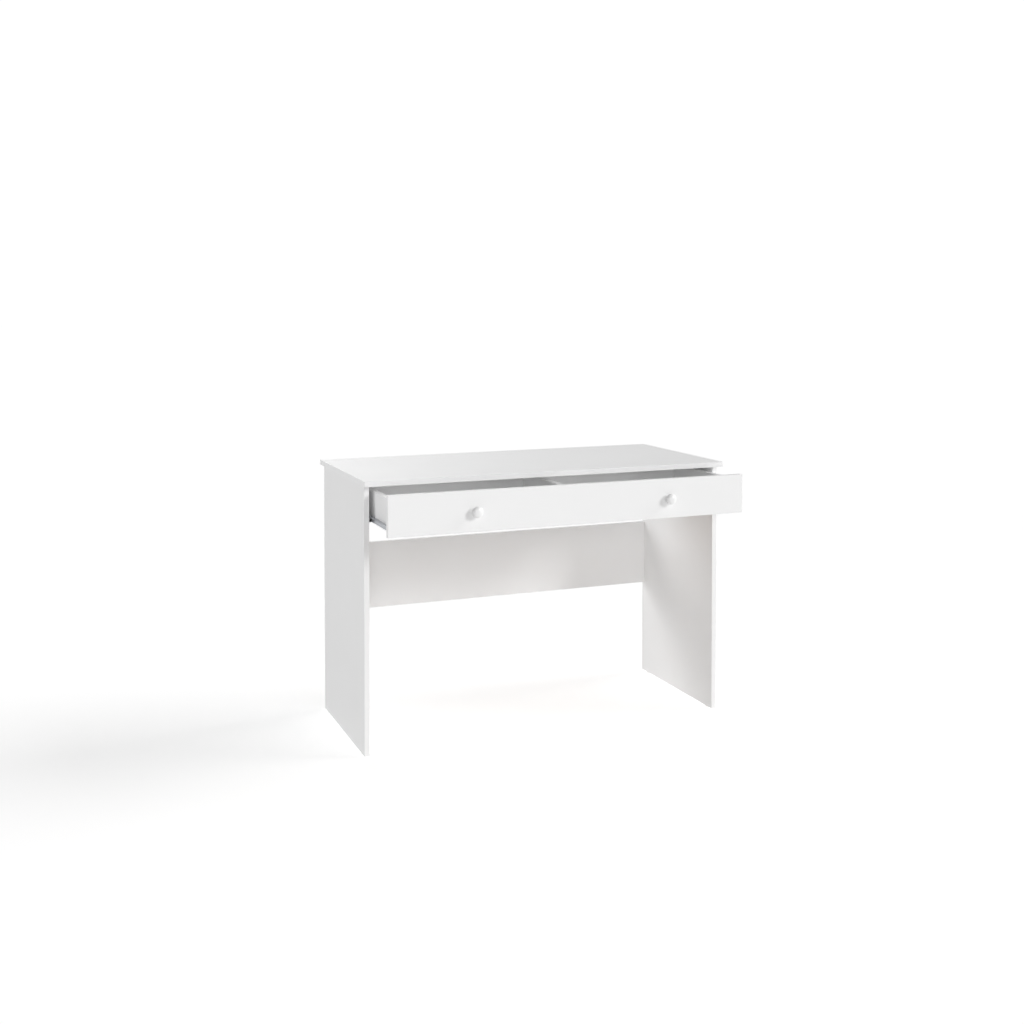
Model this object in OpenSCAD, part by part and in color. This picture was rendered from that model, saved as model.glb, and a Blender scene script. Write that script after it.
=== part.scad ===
// Writing desk with one wide drawer on roller runners, all in millimetres.
// X runs from left to right, Y from front to back and Z up from the floor.
// The origin is on the floor, under the middle of the desk and its open drawer.

/* [Desk] */
// Width of the desktop
desk_w = 1100; // [900:1:1400]
// Depth of the desktop
desk_d = 500; // [415:1:700]
// Height of the desktop's upper face above the floor
desk_h = 750; // [620:1:900]
// Thickness of the desktop, the side panels and the modesty panel
board_t = 15; // [12.5:0.5:19]
// Thickness of the edge band glued to every visible edge
band_t = 1; // [0.4:0.1:2]

/* [Side panels] */
// How far the desktop stands out past each side panel
side_overhang = 5; // [0:0.5:40]
// How far the side panels are set back from the desktop's front edge
front_setback = 26; // [0:1:60]
// How far the side panels stop short of the desktop's rear edge
rear_setback = 30; // [0:1:60]
// Height of the floor glides
glide_h = 2.5; // [2:0.1:6]
// Distance from a side panel's front or rear edge to the middle of a glide
glide_inset = 35; // [20:1:80]

/* [Modesty panel] */
// Height of the modesty panel
modesty_h = 200; // [140:1:320]
// Free height between the desktop and the modesty panel
modesty_drop = 238; // [160:1:300]
// Distance from the panel's upper or lower edge to its cam locks
modesty_cam_inset = 40; // [20:1:60]

/* [Drawer] */
// How far the drawer stands open
drawer_open = 168; // [0:1:170]
// Height of the drawer front
front_h = 110; // [90:1:140]
// Thickness of the drawer front
front_t = 15; // [12.5:0.5:19]
// Gap between the drawer front and each side panel
front_side_gap = 2; // [1:0.1:4]
// Gap between the drawer front and the desktop
front_top_gap = 3; // [1:0.1:6]
// Thickness of the drawer's sides, back and divider
box_t = 15; // [12.5:0.5:19]
// How far the drawer front stands above the drawer's sides
box_drop = 13; // [5:1:25]
// How far the drawer front hangs below the drawer's sides
box_rise = 13; // [5:1:25]
// Free depth behind the closed drawer, up to the rear edge of the side panels
box_rear_space = 79; // [20:1:120]
// Thickness of the two drawer bottoms
bottom_t = 3; // [2.5:0.5:6]
// Depth of the grooves that hold the drawer bottoms
groove_depth = 5; // [3:0.5:6]
// Height of the grooves above the lower edge of the drawer's sides
groove_rise = 10; // [8:1:14]
// Clearance of a drawer bottom in its grooves
bottom_play = 0.2; // [0.1:0.1:0.5]

/* [Knobs] */
// Distance between the middles of the two knobs
knob_spacing = 576; // [300:1:700]
// Diameter of a knob's head
knob_d = 30; // [24:1:40]
// How far a knob stands out from the drawer front
knob_l = 25; // [20:1:35]
// Diameter of a knob's foot
knob_foot_d = 14; // [12:0.5:20]
// Diameter of a knob's waist
knob_waist_d = 11; // [9:0.5:12]

/* [Runners] */
// Gap between a drawer side and its side panel
runner_gap = 12.5; // [10:0.1:16]
// Thickness of the runners' sheet steel
sheet_t = 1.2; // [0.8:0.1:1.5]
// Diameter of the rollers
roller_d = 14; // [11.5:0.5:17]
// Diameter of the rollers' axles
axle_d = 4; // [3:0.5:5]
// Radial clearance between a roller and its axle
axle_play = 0.05; // [0.02:0.01:0.1]
// Gap between a roller and the steel beside, above and below it
roll_gap = 0.3; // [0.2:0.05:0.5]
// Length over which the runner's two halves still overlap at full travel
runner_overlap = 90; // [60:1:120]

/* [Fasteners] */
// Diameter of a cam lock
cam_d = 15; // [12:0.5:16]
// Distance from a board's edge to the middle of its cam lock
cam_reach = 34; // [24:1:40]
// Diameter of a cam bolt's thread
bolt_d = 5; // [4:0.5:6]
// Diameter of a wooden dowel
dowel_d = 8; // [6:0.5:9]
// Length of a wooden dowel
dowel_l = 30; // [25:1:40]
// Diameter of the small screws that hold the runners
screw_d = 3.5; // [3:0.5:4]
// Length of the small screws under their heads
screw_l = 12; // [10:1:13]
// Diameter of the screws that hold the drawer box together
box_screw_d = 5; // [4:0.5:6]
// Length of the screws that hold the drawer box together
box_screw_l = 40; // [32:1:50]

/* [Hidden] */
$fn = 48;

// Colours of the materials
white_board = "#f2f2f0";
white_band = "#fafaf8";
white_plastic = "#f7f7f5";
zinc = "#b9bcc0";
zinc_dark = "#8f9397";
beech = "#d9b98a";

// Cuts run this far past a face so that nothing is left standing on it
cut = 1;

// Side panels
side_out = desk_w / 2 - side_overhang;
side_in = side_out - board_t;
side_front = front_setback;
side_rear = desk_d - rear_setback;
side_top = desk_h - board_t;
glide_places = [side_front + glide_inset, side_rear - glide_inset];
glide_d = board_t - 2;
glide_seat = 1.2;
nail_d = 2.2;
nail_head_d = 6;
nail_head_t = 0.8;
nail_l = 18;

// Modesty panel, flush with the rear edges of the side panels
modesty_top = side_top - modesty_drop;
modesty_bottom = modesty_top - modesty_h;
modesty_front = side_rear - board_t;
modesty_cam_heights = [modesty_bottom + modesty_cam_inset, modesty_top - modesty_cam_inset];
modesty_mid = (modesty_top + modesty_bottom) / 2;

// Cam locks, bolts and dowels. A bolt or a dowel goes into a face until
// face_floor is left, and a cam lock until cam_floor is left.
face_floor = 4;
cam_floor = 2.5;
cam_play = 0.1;
cam_bore_r = 3.8;
cam_bore_past = 3;
cam_slot_l = 9;
cam_slot_w = 2;
cam_slot_depth = 2;
bolt_bore_r = 4;
bolt_collar_r = 3.6;
bolt_collar_t = 1.5;
bolt_head_r = 3.4;
bolt_head_t = 5;
dowel_end_play = 0.5;
dowel_chamfer = 1;
top_cam_inset = 60;
top_dowel_inset = 110;
top_cam_places = [side_front + top_cam_inset, side_rear - top_cam_inset];
top_dowel_places = [side_front + top_dowel_inset, side_rear - top_dowel_inset];
cap_d = 17;
cap_t = 1.2;
cap_stub_d = 1.8;
cap_stub_l = 1.8;

// Drawer, described closed: its front is flush with the side panels' front edges
front_half = side_in - front_side_gap;
front_top = side_top - front_top_gap;
front_bottom = front_top - front_h;
front_mid = (front_top + front_bottom) / 2;
front_face = side_front;
box_front = front_face + front_t;
box_rear = side_rear - box_rear_space;
box_l = box_rear - box_front;
box_out = side_in - runner_gap;
box_in = box_out - box_t;
box_bottom = front_bottom + box_rise;
box_top = front_top - box_drop;
groove_bottom = box_bottom + groove_rise;
groove_h = bottom_t + bottom_play;
bottom_tuck = groove_depth - bottom_play;
box_cam_z = box_top - 24;
box_dowel_z = groove_bottom + groove_h + 12;
box_screw_heights = [groove_bottom + groove_h + 16, box_top - 16];
box_screw_head_d = 9;
box_screw_head_t = 3;
back_front = box_rear - box_t;

// Knobs
knob_screw_d = 4;
knob_screw_l = 25;
knob_screw_head_d = 8;
knob_screw_head_t = 2.4;
knob_screw_play = 0.25;
knob_hole_spare = 2;
knob_foot_t = 2;
knob_waist_at = 6;
knob_dome_l = 9;
knob_rim_t = 2;
knob_steps = 12;

// Runners, in a frame whose X is the distance from a side panel's inner face
web_in = sheet_t;
flange_out = runner_gap - sheet_t;
member_h = 15;
lip_w = 12;
member_top = box_bottom + member_h;
roller_z = member_top - sheet_t - roll_gap - roller_d / 2;
track_z = roller_z - roller_d / 2 - roll_gap;
roof_z = member_top + roll_gap;
track_reach = flange_out - 2 * roll_gap;
roof_reach = track_reach - 1;
shelf_in = 2.5;
axle_head_d = 6.4;
axle_head_t = 1;
axle_head_free = 1.5;
roller_w = runner_gap - 2 * sheet_t - 3 * roll_gap - axle_head_t - axle_head_free;
roller_chamfer = 0.6;
runner_inset = 2;
axle_inset = 9;
cabinet_front = box_front + runner_inset;
cabinet_rear = cabinet_front + box_l;
front_roller_y = cabinet_front + axle_inset;
rear_roller_y = box_rear - axle_inset;
travel = box_l - runner_overlap;
stop_h = 2.5;
stop_drop = roller_d / 2 + roll_gap - stop_h;
stop_gap = sqrt(pow(roller_d / 2, 2) - pow(stop_drop, 2)) + roll_gap;
open_stop_y = rear_roller_y - travel - stop_gap;
shut_stop_y = rear_roller_y + roller_d / 2 + roll_gap;
shut_stop_h = 8;
screw_head_d = 7;
screw_head_t = 1;
screw_tip = 3;
cabinet_screw_first = cabinet_front + 37;
cabinet_screw_last = cabinet_rear - 57;
cabinet_screw_places = [cabinet_screw_first, (cabinet_screw_first + cabinet_screw_last) / 2,
    cabinet_screw_last];
drawer_screw_places = [box_front + 46, box_rear - 64];

// The frame's origin is midway between the knobs' faces and the desktop's rear edge
y_middle = (front_face - drawer_open - knob_l + desk_d) / 2;

// ---- placing ----

// Puts a piece of the carcass in the frame
module carcass() {
    translate([0, -y_middle, 0])
        children();
}

// Puts a piece of the drawer, drawn closed, where the open drawer has it
module drawer() {
    translate([0, -y_middle - drawer_open, 0])
        children();
}

// Draws a left-hand piece on the right-hand side
module on_right() {
    mirror([1, 0, 0])
        children();
}

// Draws a piece on both sides
module on_both() {
    children();
    mirror([1, 0, 0])
        children();
}

// Puts a runner piece against the left side panel's inner face
module at_left_side() {
    translate([-side_in, 0, 0])
        children();
}

// A block between two opposite corners
module block(low, high) {
    translate(low)
        cube(high - low);
}

// A cylinder along +X from a point
module rod_x(from, r, l) {
    translate(from)
        rotate([0, 90, 0])
            cylinder(r = r, h = l);
}

// ---- fasteners, each drawn once in its own frame ----

// Cam lock in a board of thickness t: face on z = 0, bolt arriving from +X
module cam_lock(t) {
    difference() {
        translate([0, 0, cam_floor - t])
            cylinder(r = cam_d / 2 - cam_play, h = t - cam_floor);
        rod_x([-cam_bore_past, 0, -t / 2], cam_bore_r, cam_d);
        for (turn = [0, 90])
            rotate([0, 0, turn])
                translate([-cam_slot_l / 2, -cam_slot_w / 2, -cam_slot_depth])
                    cube([cam_slot_l, cam_slot_w, cam_slot_depth + cut]);
    }
}

// Pocket and edge bore for a cam lock, in the cam lock's frame
module cam_cut(t) {
    translate([0, 0, cam_floor - t])
        cylinder(r = cam_d / 2, h = t - cam_floor + cut);
    rod_x([0, 0, -t / 2], bolt_bore_r, cam_reach + cut);
}

// Cam bolt: threaded into a face of thickness t at x = 0, its head towards +X
module cam_bolt(t) {
    rod_x([face_floor - t, 0, 0], bolt_d / 2, t - face_floor + cam_reach);
    rod_x([0, 0, 0], bolt_collar_r, bolt_collar_t);
    rod_x([cam_reach - bolt_head_t / 2, 0, 0], bolt_head_r, bolt_head_t);
}

// Hole in the face for a cam bolt's thread
module bolt_cut(t) {
    rod_x([face_floor - t, 0, 0], bolt_d / 2, t - face_floor + cut);
}

// Dowel between a face of thickness t at x = 0 and an edge towards +X
module dowel(t) {
    translate([face_floor - t + dowel_end_play, 0, 0])
        rotate([0, 90, 0]) {
            cylinder(r1 = dowel_d / 2 - dowel_chamfer, r2 = dowel_d / 2, h = dowel_chamfer);
            translate([0, 0, dowel_chamfer])
                cylinder(r = dowel_d / 2, h = dowel_l - 2 * dowel_chamfer);
            translate([0, 0, dowel_l - dowel_chamfer])
                cylinder(r1 = dowel_d / 2, r2 = dowel_d / 2 - dowel_chamfer, h = dowel_chamfer);
        }
}

// Holes for a dowel, in the dowel's frame
module dowel_cut(t) {
    rod_x([face_floor - t, 0, 0], dowel_d / 2, dowel_l + 2 * dowel_end_play);
}

// Pan-head screw: head on the -X side of x = 0, point towards +X
module pan_screw() {
    rod_x([-screw_head_t, 0, 0], screw_head_d / 2, screw_head_t);
    rod_x([0, 0, 0], screw_d / 2, screw_l - screw_tip);
    translate([screw_l - screw_tip, 0, 0])
        rotate([0, 90, 0])
            cylinder(r1 = screw_d / 2, r2 = screw_d / 8, h = screw_tip);
}

// Hole for a pan-head screw, in the screw's frame
module pan_screw_cut() {
    rod_x([-cut, 0, 0], screw_d / 2, screw_l + cut);
}

// Countersunk screw: head flush with x = 0, point towards +X
module box_screw() {
    rotate([0, 90, 0])
        cylinder(r1 = box_screw_head_d / 2, r2 = box_screw_d / 2, h = box_screw_head_t);
    rod_x([box_screw_head_t, 0, 0], box_screw_d / 2, box_screw_l - box_screw_head_t);
}

// Hole for a countersunk screw, in the screw's frame
module box_screw_cut() {
    rotate([0, 90, 0])
        cylinder(r1 = box_screw_head_d / 2, r2 = box_screw_d / 2, h = box_screw_head_t);
    rod_x([box_screw_head_t, 0, 0], box_screw_d / 2, box_screw_l - box_screw_head_t);
    translate([-cut, 0, 0])
        rotate([0, 90, 0])
            cylinder(r = box_screw_head_d / 2, h = cut);
}

// ---- where the fasteners sit ----

// Cam locks in the left side panel, their bolts coming down from the desktop
module at_top_cams() {
    for (y = top_cam_places)
        translate([-side_in, y, side_top - cam_reach])
            rotate([0, -90, 0])
                rotate([180, 0, 0])
                    children();
}

// Bolts and dowels of the left side panel, from the desktop's underside down
module at_top_joint(places) {
    for (y = places)
        translate([-side_in - board_t / 2, y, side_top])
            rotate([0, 90, 0])
                children();
}

// Cam locks in the left end of the modesty panel, open to the rear
module at_modesty_cams() {
    for (z = modesty_cam_heights)
        translate([-side_in + cam_reach, side_rear, z])
            rotate([90, 0, 0])
                rotate([0, 180, 0])
                    children();
}

// Bolts and dowels between the left side panel and the modesty panel
module at_modesty_joint(heights) {
    for (z = heights)
        translate([-side_in, side_rear - board_t / 2, z])
            children();
}

// Cam locks of the drawer's left side, open to the inside of the drawer
module at_box_cam() {
    translate([-box_in, box_front + cam_reach, box_cam_z])
        rotate([0, 0, -90])
            rotate([-90, 0, 0])
                children();
}

// Cam lock of the divider, open to the right
module at_divider_cam() {
    translate([box_in + box_t / 2, 0, 0])
        at_box_cam()
            children();
}

// Bolts and dowels from the drawer front into the board whose middle is at x
module at_front_joint(x, z) {
    translate([x, box_front, z])
        rotate([0, 0, 90])
            children();
}

// Screws through the drawer's left side into the back
module at_back_screws() {
    for (z = box_screw_heights)
        translate([-box_out, box_rear - box_t / 2, z])
            children();
}

// Screws through the drawer's back into the divider
module at_divider_screws() {
    for (z = box_screw_heights)
        translate([0, box_rear, z])
            rotate([0, 0, -90])
                children();
}

// Screws through the left cabinet runner into the side panel
module at_cabinet_screws() {
    for (y = cabinet_screw_places)
        translate([web_in - side_in, y, roller_z])
            rotate([0, 0, 180])
                children();
}

// Screws through the left drawer runner into the drawer side
module at_drawer_screws() {
    for (y = drawer_screw_places)
        translate([flange_out - side_in, y, roller_z])
            children();
}

// Middles of the two knobs on the outer face of the drawer front
module at_knobs(sides) {
    for (side = sides)
        translate([side * knob_spacing / 2, front_face, front_mid])
            children();
}

// ---- carcass ----

module desktop() {
    color(white_board)
        carcass()
            difference() {
                block([band_t - desk_w / 2, band_t, side_top],
                    [desk_w / 2 - band_t, desk_d - band_t, desk_h]);
                on_both() {
                    at_top_joint(top_cam_places)
                        bolt_cut(board_t);
                    at_top_joint(top_dowel_places)
                        dowel_cut(board_t);
                }
            }
}

module desktop_edge_band() {
    color(white_band)
        carcass()
            difference() {
                block([-desk_w / 2, 0, side_top], [desk_w / 2, desk_d, desk_h]);
                block([band_t - desk_w / 2, band_t, side_top - cut],
                    [desk_w / 2 - band_t, desk_d - band_t, desk_h + cut]);
            }
}

// Left side panel without its edge band
module side_board() {
    color(white_board)
        carcass()
            difference() {
                block([-side_out, side_front + band_t, glide_h + band_t],
                    [-side_in, side_rear - band_t, side_top]);
                at_top_cams()
                    cam_cut(board_t);
                at_top_joint(top_dowel_places)
                    dowel_cut(board_t);
                at_modesty_joint(modesty_cam_heights)
                    bolt_cut(board_t);
                at_modesty_joint([modesty_mid])
                    dowel_cut(board_t);
                at_cabinet_screws()
                    pan_screw_cut();
                for (y = glide_places)
                    translate([-side_out + board_t / 2, y, 0])
                        cylinder(r = nail_d / 2, h = nail_l + glide_h);
            }
}

// Edge band on the front, rear and lower edges of the left side panel
module side_band() {
    color(white_band)
        carcass() {
            block([-side_out, side_front, glide_h], [-side_in, side_front + band_t, side_top]);
            block([-side_out, side_rear - band_t, glide_h], [-side_in, side_rear, side_top]);
            difference() {
                block([-side_out, side_front + band_t, glide_h],
                    [-side_in, side_rear - band_t, glide_h + band_t]);
                for (y = glide_places)
                    translate([-side_out + board_t / 2, y, 0])
                        cylinder(r = nail_d / 2, h = nail_l);
            }
        }
}

module left_side_panel() {
    side_board();
}

module right_side_panel() {
    on_right()
        side_board();
}

module left_side_edge_band() {
    side_band();
}

module right_side_edge_band() {
    on_right()
        side_band();
}

module modesty_panel() {
    color(white_board)
        carcass()
            difference() {
                block([-side_in, modesty_front, modesty_bottom + band_t],
                    [side_in, side_rear, modesty_top - band_t]);
                on_both() {
                    at_modesty_cams()
                        cam_cut(board_t);
                    at_modesty_joint([modesty_mid])
                        dowel_cut(board_t);
                }
            }
}

module modesty_edge_band() {
    color(white_band)
        carcass() {
            block([-side_in, modesty_front, modesty_bottom],
                [side_in, side_rear, modesty_bottom + band_t]);
            block([-side_in, modesty_front, modesty_top - band_t],
                [side_in, side_rear, modesty_top]);
        }
}

module carcass_cam_locks() {
    color(zinc_dark)
        carcass()
            on_both() {
                at_top_cams()
                    cam_lock(board_t);
                at_modesty_cams()
                    cam_lock(board_t);
            }
}

module carcass_cam_bolts() {
    color(zinc)
        carcass()
            on_both() {
                at_top_joint(top_cam_places)
                    cam_bolt(board_t);
                at_modesty_joint(modesty_cam_heights)
                    cam_bolt(board_t);
            }
}

module carcass_dowels() {
    color(beech)
        carcass()
            on_both() {
                at_top_joint(top_dowel_places)
                    dowel(board_t);
                at_modesty_joint([modesty_mid])
                    dowel(board_t);
            }
}

// Caps over the four cam locks that show on the back of the modesty panel
module cam_cover_caps() {
    color(white_plastic)
        carcass()
            on_both()
                at_modesty_cams() {
                    cylinder(r1 = cap_d / 2, r2 = cap_d / 2 - cap_t / 2, h = cap_t);
                    translate([0, 0, -cap_stub_l])
                        cylinder(r = cap_stub_d / 2, h = cap_stub_l);
                }
}

module floor_glides() {
    color(white_plastic)
        carcass()
            on_both()
                for (y = glide_places)
                    translate([-side_out + board_t / 2, y, 0])
                        difference() {
                            cylinder(r = glide_d / 2, h = glide_h);
                            cylinder(r = nail_d / 2, h = glide_h + cut);
                            translate([0, 0, -cut])
                                cylinder(r = nail_head_d / 2, h = cut + glide_seat);
                        }
}

module glide_nails() {
    color(zinc)
        carcass()
            on_both()
                for (y = glide_places)
                    translate([-side_out + board_t / 2, y, glide_seat - nail_head_t]) {
                        cylinder(r = nail_head_d / 2, h = nail_head_t);
                        cylinder(r = nail_d / 2, h = nail_l);
                    }
}

// ---- runners ----

// Left cabinet runner: a channel, open towards the drawer, with two stops
module cabinet_runner() {
    color(zinc)
        carcass()
            at_left_side()
                difference() {
                    union() {
                        block([0, cabinet_front, track_z - sheet_t],
                            [web_in, cabinet_rear, roof_z + sheet_t]);
                        block([0, cabinet_front, track_z - sheet_t],
                            [track_reach, cabinet_rear, track_z]);
                        block([0, cabinet_front, roof_z],
                            [roof_reach, cabinet_rear, roof_z + sheet_t]);
                        block([0, open_stop_y - sheet_t, track_z - sheet_t],
                            [roof_reach, open_stop_y, track_z + stop_h]);
                        block([0, shut_stop_y, track_z - sheet_t],
                            [roof_reach, shut_stop_y + sheet_t, track_z + shut_stop_h]);
                    }
                    rod_x([-cut, front_roller_y, roller_z], axle_d / 2, web_in + 2 * cut);
                    for (y = cabinet_screw_places)
                        rod_x([-cut, y, roller_z], screw_d / 2, web_in + 2 * cut);
                }
}

// Left drawer runner: lip under the drawer side, flange beside it, shelf outwards
module drawer_runner() {
    color(zinc)
        drawer()
            at_left_side()
                difference() {
                    union() {
                        block([flange_out, box_front, box_bottom - sheet_t],
                            [runner_gap + lip_w, box_rear, box_bottom]);
                        block([flange_out, box_front, box_bottom - sheet_t],
                            [runner_gap, box_rear, member_top]);
                        block([shelf_in, box_front, member_top - sheet_t],
                            [runner_gap, box_rear, member_top]);
                    }
                    rod_x([flange_out - cut, rear_roller_y, roller_z], axle_d / 2,
                        sheet_t + 2 * cut);
                    for (y = drawer_screw_places)
                        rod_x([flange_out - cut, y, roller_z], screw_d / 2, sheet_t + 2 * cut);
                }
}

module left_cabinet_runner() {
    cabinet_runner();
}

module right_cabinet_runner() {
    on_right()
        cabinet_runner();
}

module left_drawer_runner() {
    drawer_runner();
}

module right_drawer_runner() {
    on_right()
        drawer_runner();
}

// Roller with a chamfered rim, its bore along X, starting at x = 0
module roller() {
    color(white_plastic)
        rotate([0, 90, 0])
            rotate_extrude()
                polygon([
                    [axle_d / 2 + axle_play, 0],
                    [roller_d / 2 - roller_chamfer, 0],
                    [roller_d / 2, roller_chamfer],
                    [roller_d / 2, roller_w - roller_chamfer],
                    [roller_d / 2 - roller_chamfer, roller_w],
                    [axle_d / 2 + axle_play, roller_w]
                ]);
}

// Riveted axle: tail flush with the far side of the sheet, head past the roller
module roller_axle() {
    grip = sheet_t + 2 * roll_gap + roller_w;
    color(zinc_dark) {
        rod_x([0, 0, 0], axle_d / 2, grip + axle_head_t);
        rod_x([grip, 0, 0], axle_head_d / 2, axle_head_t);
    }
}

// Left front roller, on the cabinet runner
module front_roller() {
    carcass()
        at_left_side()
            translate([web_in + roll_gap, front_roller_y, roller_z])
                roller();
}

// Left rear roller, on the drawer runner
module rear_roller() {
    drawer()
        at_left_side()
            translate([flange_out - roll_gap - roller_w, rear_roller_y, roller_z])
                roller();
}

module left_front_roller() {
    front_roller();
}

module right_front_roller() {
    on_right()
        front_roller();
}

module left_rear_roller() {
    rear_roller();
}

module right_rear_roller() {
    on_right()
        rear_roller();
}

module cabinet_roller_axles() {
    carcass()
        on_both()
            at_left_side()
                translate([0, front_roller_y, roller_z])
                    roller_axle();
}

module drawer_roller_axles() {
    drawer()
        on_both()
            at_left_side()
                translate([runner_gap, rear_roller_y, roller_z])
                    rotate([0, 0, 180])
                        roller_axle();
}

module cabinet_runner_screws() {
    color(zinc)
        carcass()
            on_both()
                at_cabinet_screws()
                    pan_screw();
}

module drawer_runner_screws() {
    color(zinc)
        drawer()
            on_both()
                at_drawer_screws()
                    pan_screw();
}

// ---- drawer ----

module drawer_front() {
    color(white_board)
        drawer()
            difference() {
                block([band_t - front_half, front_face, front_bottom + band_t],
                    [front_half - band_t, box_front, front_top - band_t]);
                block([-box_in - groove_depth, box_front - groove_depth, groove_bottom],
                    [box_in + groove_depth, box_front + cut, groove_bottom + groove_h]);
                for (x = [-box_out + box_t / 2, 0, box_out - box_t / 2]) {
                    at_front_joint(x, box_cam_z)
                        bolt_cut(front_t);
                    at_front_joint(x, box_dowel_z)
                        dowel_cut(front_t);
                }
                at_knobs([-1, 1])
                    rotate([-90, 0, 0])
                        translate([0, 0, -cut])
                            cylinder(r = knob_screw_d / 2 + knob_screw_play,
                                h = front_t + 2 * cut);
            }
}

module drawer_front_edge_band() {
    color(white_band)
        drawer()
            difference() {
                block([-front_half, front_face, front_bottom], [front_half, box_front, front_top]);
                block([band_t - front_half, front_face - cut, front_bottom + band_t],
                    [front_half - band_t, box_front + cut, front_top - band_t]);
            }
}

// Left side of the drawer box
module box_side() {
    color(white_board)
        drawer()
            difference() {
                block([-box_out, box_front, box_bottom], [-box_in, box_rear, box_top - band_t]);
                block([-box_in - groove_depth, box_front - cut, groove_bottom],
                    [cut - box_in, back_front + groove_depth, groove_bottom + groove_h]);
                at_box_cam()
                    cam_cut(box_t);
                at_front_joint(-box_out + box_t / 2, box_dowel_z)
                    dowel_cut(front_t);
                at_back_screws()
                    box_screw_cut();
                at_drawer_screws()
                    pan_screw_cut();
            }
}

module drawer_left_side() {
    box_side();
}

module drawer_right_side() {
    on_right()
        box_side();
}

module drawer_back() {
    color(white_board)
        drawer()
            difference() {
                block([-box_in, back_front, box_bottom], [box_in, box_rear, box_top - band_t]);
                block([-box_in - cut, back_front - cut, groove_bottom],
                    [box_in + cut, back_front + groove_depth, groove_bottom + groove_h]);
                on_both()
                    at_back_screws()
                        box_screw_cut();
                at_divider_screws()
                    box_screw_cut();
            }
}

module drawer_divider() {
    color(white_board)
        drawer()
            difference() {
                block([-box_t / 2, box_front, box_bottom], [box_t / 2, back_front, box_top - band_t]);
                on_both()
                    block([box_t / 2 - groove_depth, box_front - cut, groove_bottom],
                        [box_t / 2 + cut, back_front + cut, groove_bottom + groove_h]);
                at_divider_cam()
                    cam_cut(box_t);
                at_front_joint(0, box_dowel_z)
                    dowel_cut(front_t);
                at_divider_screws()
                    box_screw_cut();
            }
}

// Bands on the upper edges of the drawer's sides, back and divider
module drawer_box_edge_bands() {
    low = box_top - band_t;
    color(white_band)
        drawer() {
            on_both()
                block([-box_out, box_front, low], [-box_in, box_rear, box_top]);
            block([-box_in, back_front, low], [box_in, box_rear, box_top]);
            block([-box_t / 2, box_front, low], [box_t / 2, back_front, box_top]);
        }
}

// Left drawer bottom, lying in the grooves on all four sides
module box_bottom_board() {
    color(white_board)
        drawer()
            block([-box_in - bottom_tuck, box_front - bottom_tuck, groove_bottom],
                [bottom_tuck - box_t / 2, back_front + bottom_tuck, groove_bottom + bottom_t]);
}

module drawer_bottom_left() {
    box_bottom_board();
}

module drawer_bottom_right() {
    on_right()
        box_bottom_board();
}

// Half of a knob's outline: foot, hollow waist and domed head
function knob_outline() = let (
        head_at = knob_l - knob_dome_l,
        waist_l = head_at - knob_rim_t - knob_waist_at,
        flare = (knob_d - knob_waist_d) / 2
    ) concat(
        [[0, 0], [knob_foot_d / 2, 0], [knob_foot_d / 2, knob_foot_t],
            [knob_waist_d / 2, knob_waist_at]],
        [for (i = [1:knob_steps]) let (a = 90 * i / knob_steps)
            [knob_waist_d / 2 + flare * (1 - cos(a)), knob_waist_at + waist_l * sin(a)]],
        [for (i = [0:knob_steps]) let (a = 90 * i / knob_steps)
            [knob_d / 2 * cos(a), head_at + knob_dome_l * sin(a)]]
    );

// Knob standing out along -Y from the drawer front, with a hole for its screw
module knob(side) {
    color(white_plastic)
        drawer()
            at_knobs([side])
                rotate([90, 0, 0])
                    difference() {
                        rotate_extrude()
                            polygon(knob_outline());
                        translate([0, 0, -cut])
                            cylinder(r = knob_screw_d / 2,
                                h = cut + knob_screw_l - front_t + knob_hole_spare);
                    }
}

module left_knob() {
    knob(-1);
}

module right_knob() {
    knob(1);
}

module knob_screws() {
    color(zinc)
        drawer()
            at_knobs([-1, 1])
                translate([0, front_t, 0])
                    rotate([90, 0, 0]) {
                        translate([0, 0, -knob_screw_head_t])
                            cylinder(r = knob_screw_head_d / 2, h = knob_screw_head_t);
                        cylinder(r = knob_screw_d / 2, h = knob_screw_l);
                    }
}

module drawer_cam_locks() {
    color(zinc_dark)
        drawer() {
            on_both()
                at_box_cam()
                    cam_lock(box_t);
            at_divider_cam()
                cam_lock(box_t);
        }
}

module drawer_cam_bolts() {
    color(zinc)
        drawer()
            for (x = [-box_out + box_t / 2, 0, box_out - box_t / 2])
                at_front_joint(x, box_cam_z)
                    cam_bolt(front_t);
}

module drawer_dowels() {
    color(beech)
        drawer()
            for (x = [-box_out + box_t / 2, 0, box_out - box_t / 2])
                at_front_joint(x, box_dowel_z)
                    dowel(front_t);
}

module drawer_box_screws() {
    color(zinc)
        drawer() {
            on_both()
                at_back_screws()
                    box_screw();
            at_divider_screws()
                box_screw();
        }
}

desktop();
desktop_edge_band();
left_side_panel();
right_side_panel();
left_side_edge_band();
right_side_edge_band();
modesty_panel();
modesty_edge_band();
carcass_cam_locks();
carcass_cam_bolts();
carcass_dowels();
cam_cover_caps();
left_cabinet_runner();
right_cabinet_runner();
left_front_roller();
right_front_roller();
cabinet_roller_axles();
cabinet_runner_screws();
floor_glides();
glide_nails();
drawer_front();
drawer_front_edge_band();
drawer_left_side();
drawer_right_side();
drawer_back();
drawer_divider();
drawer_box_edge_bands();
drawer_bottom_left();
drawer_bottom_right();
left_knob();
right_knob();
knob_screws();
left_drawer_runner();
right_drawer_runner();
left_rear_roller();
right_rear_roller();
drawer_roller_axles();
drawer_runner_screws();
drawer_cam_locks();
drawer_cam_bolts();
drawer_dowels();
drawer_box_screws();
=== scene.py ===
import math

import bmesh
import bpy
from mathutils import Matrix, Vector


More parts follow.
